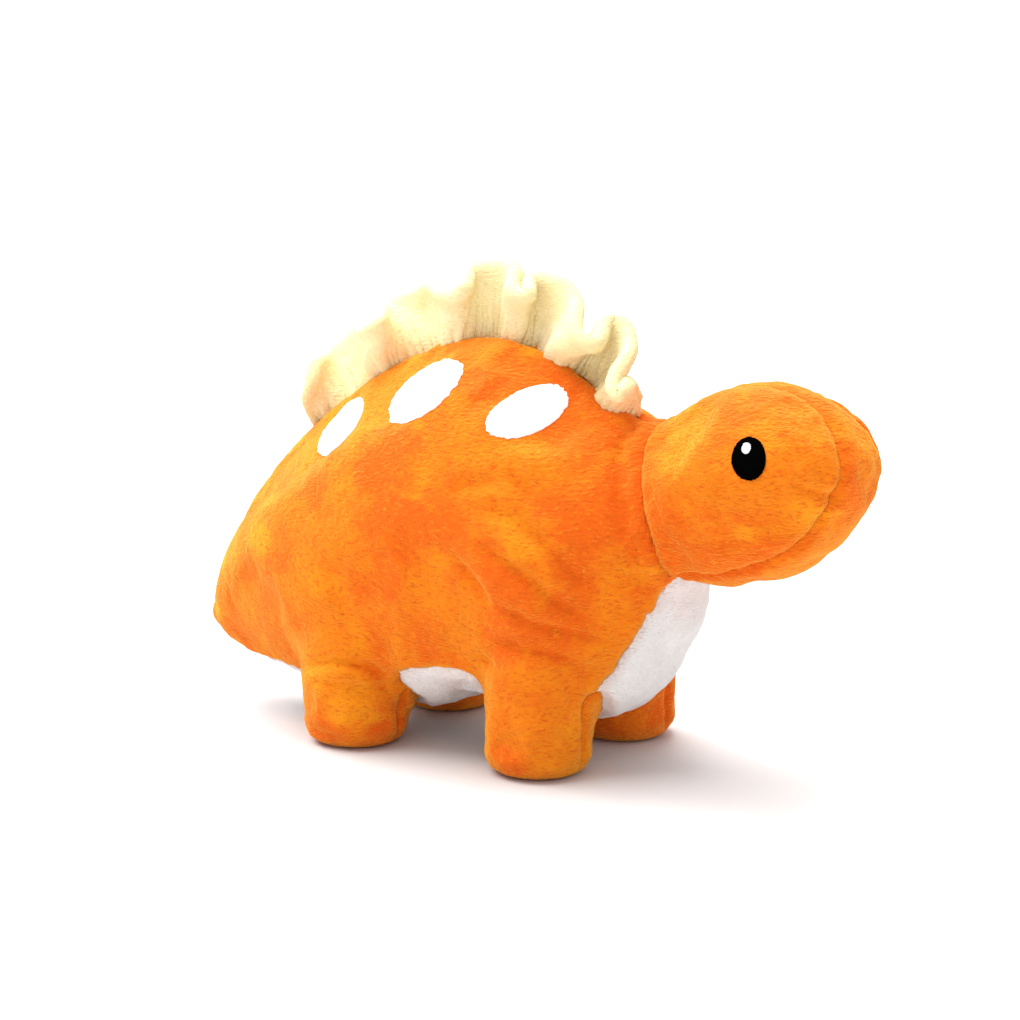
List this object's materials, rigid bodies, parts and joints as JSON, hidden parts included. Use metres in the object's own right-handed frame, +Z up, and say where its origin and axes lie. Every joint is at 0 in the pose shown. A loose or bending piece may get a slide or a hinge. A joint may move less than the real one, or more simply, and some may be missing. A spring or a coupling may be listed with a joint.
{
  "type": "stuffed dinosaur",
  "caption": "Soft stuffed dinosaur toy with a round head, drooping pointed tail, stubby legs, oval felt spots and a gathered ruffle along its back.",
  "frame": {"origin": "on the surface the toy stands on, under the middle of its length and width", "axes": "+X towards the head, +Y towards the toy's left side, +Z up"},
  "size_m": [0.34, 0.124, 0.2127],
  "materials": {
    "plush_orange": "matte",
    "plush_white": "matte",
    "plush_cream": "matte",
    "felt_white": "matte",
    "thread_black": "satin",
    "thread_white": "satin",
    "fibre_fill": "matte"
  },
  "bodies": {
    "body": {"back_ruffle": "plush_cream", "belly_panel": "plush_white", "body_side_panel_left": "plush_orange", "body_side_panel_right": "plush_orange", "body_stuffing": "fibre_fill", "felt_spot_left_1": "felt_white", "felt_spot_left_2": "felt_white", "felt_spot_left_3": "felt_white", "felt_spot_right_1": "felt_white", "felt_spot_right_2": "felt_white", "felt_spot_right_3": "felt_white", "foot_sole_front_left": "plush_orange", "foot_sole_front_right": "plush_orange", "foot_sole_hind_left": "plush_orange", "foot_sole_hind_right": "plush_orange", "inner_leg_panel_front_left": "plush_orange", "inner_leg_panel_front_right": "plush_orange", "inner_leg_panel_hind_left": "plush_orange", "inner_leg_panel_hind_right": "plush_orange", "leg_stuffing_front_left": "fibre_fill", "leg_stuffing_front_right": "fibre_fill", "leg_stuffing_hind_left": "fibre_fill", "leg_stuffing_hind_right": "fibre_fill"},
    "neck": {"neck_stuffing": "fibre_fill"},
    "head": {"eye_left": "thread_black", "eye_light_mark_left": "thread_white", "eye_light_mark_right": "thread_white", "eye_right": "thread_black", "head_centre_panel": "plush_orange", "head_side_panel_left": "plush_orange", "head_side_panel_right": "plush_orange", "head_stuffing": "fibre_fill"}
  },
  "joints": [
    {"name": "head_nod", "type": "hinge", "parent": "body", "child": "neck", "pos_m": [0.082, 0, 0.114], "axis": [0, 1, 0], "range_deg": [-10, 10], "stiffness_Nm_per_rad": 0.5},
    {"name": "head_turn", "type": "hinge", "parent": "neck", "child": "head", "pos_m": [0.082, 0, 0.114], "axis": [0, 0, 1], "range_deg": [-12, 12], "stiffness_Nm_per_rad": 0.5}
  ]
}
